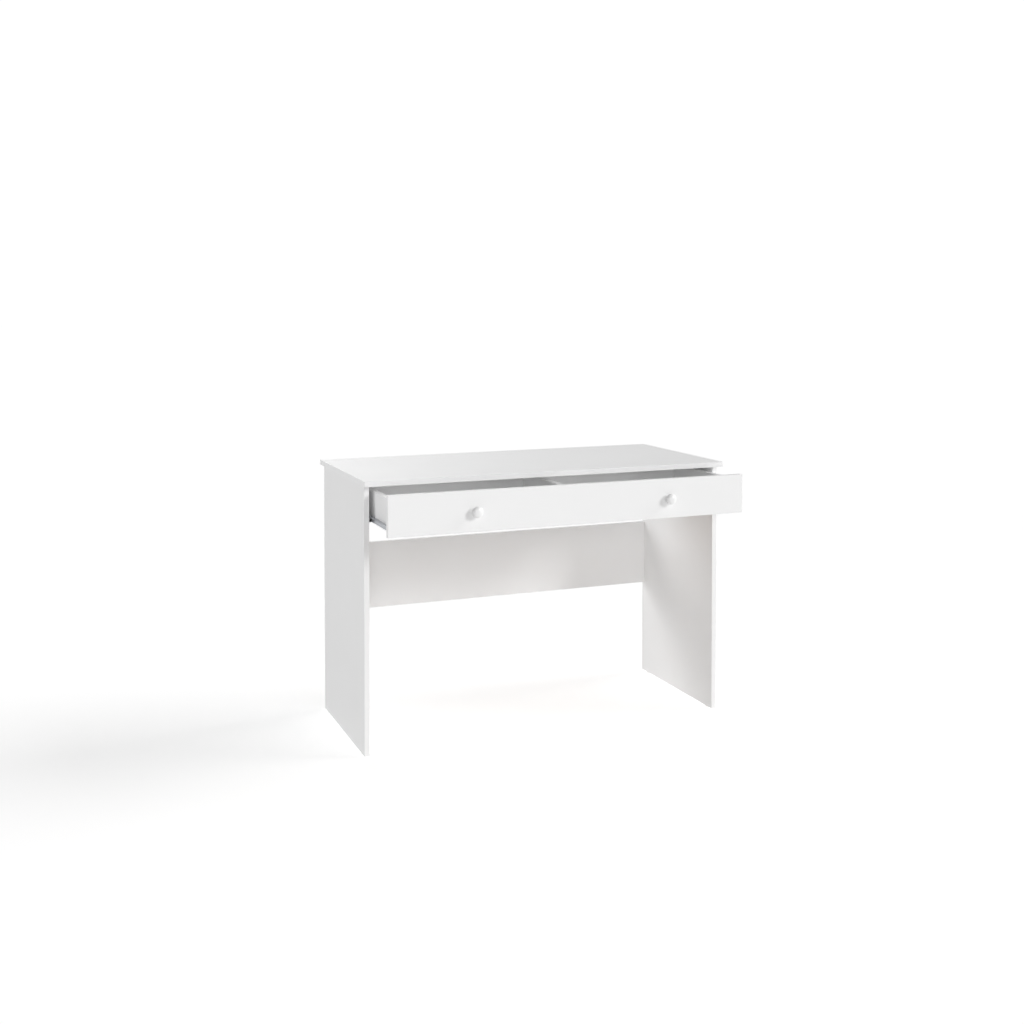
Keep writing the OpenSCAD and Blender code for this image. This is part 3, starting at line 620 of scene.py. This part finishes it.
def screw_tree(name, head, recess):
    """A nail or screw along Z, its head's seat at zero. head is domed or countersunk, and
    recess is the cross for the screwdriver, which a nail hasn't."""
    blunt = 0.25
    tree, given = new_fitting_tree(name, ["Head Radius", "Head Height", "Crown Radius",
                                          "Shank Radius", "Shank Length", "Tip Length",
                                          "Recess Span", "Recess Width", "Recess Depth"])
    straight = put(tree, "ShaderNodeMath", {0: given["Shank Length"], 1: given["Tip Length"]},
                   operation="SUBTRACT").outputs[0]
    shank = put(tree, "GeometryNodeMeshCylinder", {"Vertices": 24,
                                                   "Radius": given["Shank Radius"],
                                                   "Depth": straight})
    shank = at_height(tree, shank.outputs["Mesh"], straight, -0.5)
    point = put(tree, "ShaderNodeMath", {0: given["Shank Radius"], 1: blunt},
                operation="MULTIPLY")
    tip = put(tree, "GeometryNodeMeshCone", {"Vertices": 24, "Radius Top": given["Shank Radius"],
                                             "Radius Bottom": point.outputs[0],
                                             "Depth": given["Tip Length"]})
    tip = at_height(tree, tip.outputs["Mesh"], given["Shank Length"], -1.0)
    if head == "domed":
        disc = put(tree, "GeometryNodeMeshCylinder", {"Vertices": 32,
                                                      "Radius": given["Head Radius"],
                                                      "Depth": given["Head Height"]})
        disc = at_height(tree, disc.outputs["Mesh"], given["Head Height"], 0.5)
        ball = put(tree, "GeometryNodeMeshUVSphere", {"Segments": 32, "Rings": 64,
                                                      "Radius": given["Crown Radius"]})
        middle = put(tree, "ShaderNodeMath", {0: given["Head Height"], 1: given["Crown Radius"]},
                     operation="SUBTRACT")
        ball = at_height(tree, ball.outputs["Mesh"], middle.outputs[0])
        top = put(tree, "GeometryNodeMeshBoolean", {"Mesh 2": [disc, ball]},
                  operation="INTERSECT", solver="EXACT").outputs["Mesh"]
        cross_at = given["Head Height"]
    else:
        cone = put(tree, "GeometryNodeMeshCone", {"Vertices": 32,
                                                  "Radius Top": given["Head Radius"],
                                                  "Radius Bottom": given["Shank Radius"],
                                                  "Depth": given["Head Height"]})
        top = at_height(tree, cone.outputs["Mesh"], given["Head Height"], -1.0)
        cross_at = 0.0
    whole = put(tree, "GeometryNodeMeshBoolean", {"Mesh 2": [top, shank, tip]},
                operation="UNION", solver="EXACT").outputs["Mesh"]
    if recess:
        deep = put(tree, "ShaderNodeMath", {0: given["Recess Depth"], 1: 2.0},
                   operation="MULTIPLY")
        size = put(tree, "ShaderNodeCombineXYZ", {"X": given["Recess Span"],
                                                  "Y": given["Recess Width"],
                                                  "Z": deep.outputs[0]})
        bar = put(tree, "GeometryNodeMeshCube", {"Size": size.outputs[0]}).outputs["Mesh"]
        first = at_height(tree, bar, cross_at, turn=math.pi / 4)
        second = at_height(tree, bar, cross_at, turn=-math.pi / 4)
        whole = put(tree, "GeometryNodeMeshBoolean", {"Mesh 1": whole,
                                                      "Mesh 2": [first, second]},
                    operation="DIFFERENCE", solver="EXACT").outputs["Mesh"]
    return set_on_seats(tree, given, whole)


def screw_seats(node, outward, seat):
    """A seat for each screw of a node. outward() says where its head faces, and seat is how
    far its seat lies under the head's top."""
    seats = []
    for low, high in solids(node):
        middle, half = (low + high) / 2, (high - low) / 2
        out = Vector(outward(middle))
        top = middle + Vector([half[i] * out[i] for i in range(3)])
        upright = abs(out.z) > 0.5
        across = Vector((1, 0, 0)) if upright else Vector((0, 0, 1))
        seats.append((top - out * seat, turned_to(out, across)))
    return seats


def crown(radius, rise):
    """Radius of the ball whose cap of that radius rises so far."""
    return (radius ** 2 + rise ** 2) / (2 * rise)


NAIL_HEAD = 0.8 * MM
nail_tree = screw_tree("nail", "domed", False)
fittings("nails", "glide_nails", nail_tree,
         {"Head Radius": 3 * MM, "Head Height": NAIL_HEAD, "Crown Radius": crown(3 * MM, 0.3 * MM),
          "Shank Radius": 1.1 * MM, "Shank Length": 17.2 * MM, "Tip Length": 2 * MM},
         screw_seats("glide_nails", lambda middle: (0, 0, -1), NAIL_HEAD),
         zinc_plated_steel, "carcass")


# ---- Cabinet runners ----
# The outer half of each roller runner is a channel folded from 1.2 mm zinc-plated
# steel, screwed to the side panel. It carries the front roller on a riveted axle.
def folded(name, node, body):
    """A runner member with its fold lines rounded to the press tool's radius."""
    fold_radius = 1.4 * MM
    piece = machined(name, node, fold_radius, steps=4)[0]
    piece.data.materials.append(zinc_plated_steel)
    for face in piece.data.polygons:
        face.use_smooth = True
    piece.data.set_sharp_from_angle(angle=SHARP)
    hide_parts(node)
    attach(piece, body)
    return piece


def turned(name, outline, steps, place, closed=False):
    """Turns an outline of (radius, distance along the axis) round the Z axis and places it.
    The small steps of a rounded rim shade as one."""
    past_a_step = math.radians(32)
    bm = bmesh.new()
    rings = []
    for radius, along in outline:
        angles = [2 * math.pi * i / steps for i in range(steps)] if radius > 0 else [0]
        rings.append([bm.verts.new((radius * math.cos(a), radius * math.sin(a), along))
                      for a in angles])
    pairs = list(zip(rings, rings[1:])) + ([(rings[-1], rings[0])] if closed else [])
    for one, two in pairs:
        for i in range(steps):
            j = (i + 1) % steps
            corners = [one[i % len(one)], one[j % len(one)], two[j % len(two)], two[i % len(two)]]
            corners = list(dict.fromkeys(corners))
            if len(corners) > 2:
                bm.faces.new(corners)
    bmesh.ops.remove_doubles(bm, verts=bm.verts, dist=SPECK)
    bmesh.ops.recalc_face_normals(bm, faces=bm.faces)
    bm.transform(place)
    mesh = bpy.data.meshes.new(name)
    bm.to_mesh(mesh)
    bm.free()
    for face in mesh.polygons:
        face.use_smooth = True
    mesh.set_sharp_from_angle(angle=past_a_step)
    return new_piece(name, mesh)


def quarter(middle_r, middle_z, span_r, span_z, start, steps):
    """Points on a quarter of an ellipse, from angle start through 90 degrees."""
    return [(middle_r + span_r * math.cos(start + i * math.pi / 2 / steps),
             middle_z + span_z * math.sin(start + i * math.pi / 2 / steps))
            for i in range(steps + 1)]


roller_nylon = moulded_plastic("nylon_roller", "#dcdcd6", "#e8e8e3", rough=0.42,
                               grain_size=0.5 * MM)


def roller(name, node, body):
    """A nylon roller: tyre with rounded edges, a sunk web on both sides and a hub."""
    low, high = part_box(node)
    width, rim = high.x - low.x, (high.z - low.z) / 2
    bore, hub, web, tyre = 2.05 * MM, 3.3 * MM, 5.3 * MM, 5.6 * MM
    chamfer, sunk, soft = 0.2 * MM, 0.9 * MM, 0.6 * MM
    half = [(bore, 0.0), (hub - chamfer, 0.0), (hub, chamfer), (hub, sunk), (web, sunk),
            (tyre - chamfer, chamfer / 2), (tyre, 0.0)]
    half += quarter(rim - soft, soft, soft, soft, -math.pi / 2, 3)
    outline = half + [(radius, width - along) for radius, along in reversed(half)]
    middle = (low + high) / 2
    place = Matrix.Translation((low.x, middle.y, middle.z)) @ Matrix.Rotation(math.pi / 2, 4, "Y")
    piece = turned(name, outline, steps=48, place=place, closed=True)
    piece.data.materials.append(roller_nylon)
    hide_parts(node)
    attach(piece, body)


PAN_HEAD = 1 * MM
pan_tree = screw_tree("pan_head_screw", "domed", True)
PAN_SIZES = {"Head Radius": 3.5 * MM, "Head Height": PAN_HEAD,
             "Crown Radius": crown(3.5 * MM, 0.6 * MM), "Shank Radius": 1.75 * MM,
             "Shank Length": 12 * MM, "Tip Length": 3 * MM, "Recess Span": 3.2 * MM,
             "Recess Width": 0.7 * MM, "Recess Depth": 0.8 * MM}

for side in ("left", "right"):
    folded(f"{side}_cabinet_channel", f"{side}_cabinet_runner", "carcass")
    roller(f"{side}_front_wheel", f"{side}_front_roller", f"{side}_front_roller")
moulded("cabinet_axles", "cabinet_roller_axles", zinc_plated_steel, "carcass",
        rounding=0.3 * MM)
fittings("cabinet_screws", "cabinet_runner_screws", pan_tree, PAN_SIZES,
         screw_seats("cabinet_runner_screws",
                     lambda middle: (-1 if middle.x > 0 else 1, 0, 0), PAN_HEAD),
         zinc_plated_steel, "carcass")


# ---- Drawer front ----
# One full-width board of the same melamine-faced chipboard, banded on all four
# edges, grooved behind for the bottoms and drilled for the knobs' screws.
board("drawer_front_board", "drawer_front", Y, "drawer")
band("drawer_front_band", "drawer_front_edge_band", "drawer")


# ---- Drawer box ----
# Two sides, a back and a divider in 15 mm board. Only their upper edges are
# banded; the others are left as sawn.
for side in ("left", "right"):
    board(f"drawer_{side}_board", f"drawer_{side}_side", X, "drawer")
board("drawer_back_board", "drawer_back", Y, "drawer")
board("drawer_divider_board", "drawer_divider", X, "drawer")
BAND_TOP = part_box("drawer_box_edge_bands")[1].z
band("drawer_box_bands", "drawer_box_edge_bands", "drawer",
     lambda edge: all(abs(v.co.z - BAND_TOP) < MERGE for v in edge.verts))


# ---- Drawer bottoms ----
# Two sheets of 3 mm hardboard in the grooves, lacquered white on top and left
# brown underneath.
def hardboard():
    """Bare hardboard: pressed wood fibres, dark brown, with a felt of fibres 1 to 3 mm long."""
    fibre_length = 1.5 * MM
    material, tree, shader = new_material("bare_hardboard")
    place = put(tree, "ShaderNodeTexCoord").outputs["Object"]
    felt = put(tree, "ShaderNodeTexNoise", {"Vector": place, "Scale": 1 / fibre_length,
                                            "Detail": 5.0, "Distortion": 1.5})
    tint = put(tree, "ShaderNodeMix", {"Factor": felt.outputs["Fac"], 6: srgb("#6f4f33"),
                                       7: srgb("#a37e58")}, data_type="RGBA")
    grain = put(tree, "ShaderNodeBump", {"Height": felt.outputs["Fac"], "Strength": 0.4,
                                         "Distance": 0.1 * MM})
    tree.links.new(tint.outputs[2], shader.inputs["Base Color"])
    tree.links.new(grain.outputs[0], shader.inputs["Normal"])
    shader.inputs["Roughness"].default_value = 0.8
    return material


bare_hardboard = hardboard()
for side in ("left", "right"):
    board(f"drawer_{side}_bottom", f"drawer_bottom_{side}", Z, "drawer",
          under=False, core=bare_hardboard)


# ---- Knobs ----
# Two turned beech knobs, sprayed with white satin lacquer, each held from
# inside the drawer by one machine screw.
def lacquer():
    """White satin lacquer sprayed on turned wood: smooth, with a slight orange peel of about
    1.5 mm and a soft clear gloss."""
    peel_width, cloud_width = 1.5 * MM, 9 * MM
    material, tree, shader = new_material("white_satin_lacquer")
    place = put(tree, "ShaderNodeTexCoord").outputs["Object"]
    peel = put(tree, "ShaderNodeTexNoise", {"Vector": place, "Scale": 1 / peel_width,
                                            "Detail": 1.0})
    cloud = put(tree, "ShaderNodeTexNoise", {"Vector": place, "Scale": 1 / cloud_width})
    tint = put(tree, "ShaderNodeMix", {"Factor": cloud.outputs["Fac"], 6: srgb("#efefef"),
                                       7: srgb("#f2f2f2")}, data_type="RGBA")
    gloss = put(tree, "ShaderNodeMapRange", {"Value": peel.outputs["Fac"], "To Min": 0.28,
                                             "To Max": 0.36})
    ripple = put(tree, "ShaderNodeBump", {"Height": peel.outputs["Fac"], "Strength": 0.2,
                                          "Distance": 0.03 * MM})
    for socket, source in (("Base Color", tint.outputs[2]), ("Roughness", gloss.outputs[0]),
                           ("Normal", ripple.outputs[0])):
        tree.links.new(source, shader.inputs[socket])
    shader.inputs["IOR"].default_value = 1.5
    shader.inputs["Coat Weight"].default_value = 0.3
    shader.inputs["Coat Roughness"].default_value = 0.18
    return material


white_satin_lacquer = lacquer()


def knob(name, node):
    """Foot, hollow waist and domed head, with a blind hole for the screw."""
    low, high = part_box(node)
    head, long = (high.x - low.x) / 2, high.y - low.y
    foot, foot_height, hole, hole_depth = 7 * MM, 2 * MM, 2 * MM, 12 * MM
    waist, waist_at, cove, cove_at = 5.5 * MM, 6 * MM, 5.75 * MM, 4.8 * MM
    dome, rim, soft = 9 * MM, 2 * MM, 0.6 * MM
    lip = long - dome - rim
    soft_steps, long_steps = 5, 24
    outline = [(0.0, hole_depth), (hole, hole_depth), (hole, 0.0), (foot - soft, 0.0)]
    outline += quarter(foot - soft, soft, soft, soft, -math.pi / 2, soft_steps)
    outline += quarter(foot - soft, foot_height - soft, soft, soft, 0.0, soft_steps)
    outline += [(cove, cove_at)]
    flare = quarter(head, waist_at, waist - head, lip - waist_at, 0.0, long_steps)
    outline += [(radius, along) for radius, along in flare if radius < head - soft]
    outline += quarter(head - soft, lip + soft, soft, soft, -math.pi / 2, soft_steps)
    outline += quarter(0.0, long - dome, head, dome, 0.0, long_steps)[:-1]
    outline += [(0.0, long)]
    middle = (low + high) / 2
    place = (Matrix.Translation((middle.x, high.y, middle.z))
             @ Matrix.Rotation(math.pi / 2, 4, "X"))
    piece = turned(name, outline, steps=72, place=place)
    piece.data.materials.append(white_satin_lacquer)
    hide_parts(node)
    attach(piece, "drawer")


for side in ("left", "right"):
    knob(f"{side}_turned_knob", f"{side}_knob")

KNOB_SCREW_HEAD = 2.4 * MM
fittings("knob_machine_screws", "knob_screws", pan_tree,
         {"Head Radius": 4 * MM, "Head Height": KNOB_SCREW_HEAD,
          "Crown Radius": crown(4 * MM, 1.1 * MM), "Shank Radius": 2 * MM,
          "Shank Length": 25 * MM, "Tip Length": 1 * MM, "Recess Span": 4.4 * MM,
          "Recess Width": 0.9 * MM, "Recess Depth": 1.6 * MM},
         screw_seats("knob_screws", lambda middle: (0, 1, 0), KNOB_SCREW_HEAD),
         zinc_plated_steel, "drawer")


# ---- Drawer runners ----
# The inner half of each roller runner hooks under the drawer side and is
# screwed to it. Its shelf runs on the front roller, and it carries the rear one.
for side in ("left", "right"):
    folded(f"{side}_drawer_rail", f"{side}_drawer_runner", "drawer")
    roller(f"{side}_rear_wheel", f"{side}_rear_roller", f"{side}_rear_roller")
moulded("drawer_axles", "drawer_roller_axles", zinc_plated_steel, "drawer",
        rounding=0.3 * MM)
fittings("drawer_rail_screws", "drawer_runner_screws", pan_tree, PAN_SIZES,
         screw_seats("drawer_runner_screws",
                     lambda middle: (1 if middle.x > 0 else -1, 0, 0), PAN_HEAD),
         zinc_plated_steel, "drawer")


# ---- Cam locks, bolts, dowels and screws of the drawer ----
# Sides and divider are drawn to the front with a cam lock and a dowel each.
# The back is screwed to the sides, and the divider to the back, with countersunk screws.
divider_low, divider_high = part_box("drawer_divider")


def drawer_cam_faces(middle):
    """Those of the sides face into the drawer, and that of the divider faces right."""
    inward = 1 if middle.x < divider_high.x else -1
    return (inward, 0, 0), (0, -1, 0)


fittings("drawer_cams", "drawer_cam_locks", cam_tree, CAM_SIZES,
         cam_seats("drawer_cam_locks", drawer_cam_faces), zinc_die_casting,
         "drawer")
finished("drawer_cam_bolts", zinc_plated_steel)
finished("drawer_dowels", beech_wood)


def box_screw_faces(middle):
    """Screws of the sides face outwards, and those into the divider face the rear."""
    if divider_low.x < middle.x < divider_high.x:
        return (0, 1, 0)
    return (1 if middle.x > 0 else -1, 0, 0)


sunk_tree = screw_tree("countersunk_screw", "countersunk", True)
fittings("drawer_box_wood_screws", "drawer_box_screws", sunk_tree,
         {"Head Radius": 4.5 * MM, "Head Height": 3 * MM, "Shank Radius": 2.5 * MM,
          "Shank Length": 40 * MM, "Tip Length": 5 * MM, "Recess Span": 4.6 * MM,
          "Recess Width": 1.0 * MM, "Recess Depth": 2.2 * MM},
         screw_seats("drawer_box_screws", box_screw_faces, 0.0),
         zinc_plated_steel, "drawer")
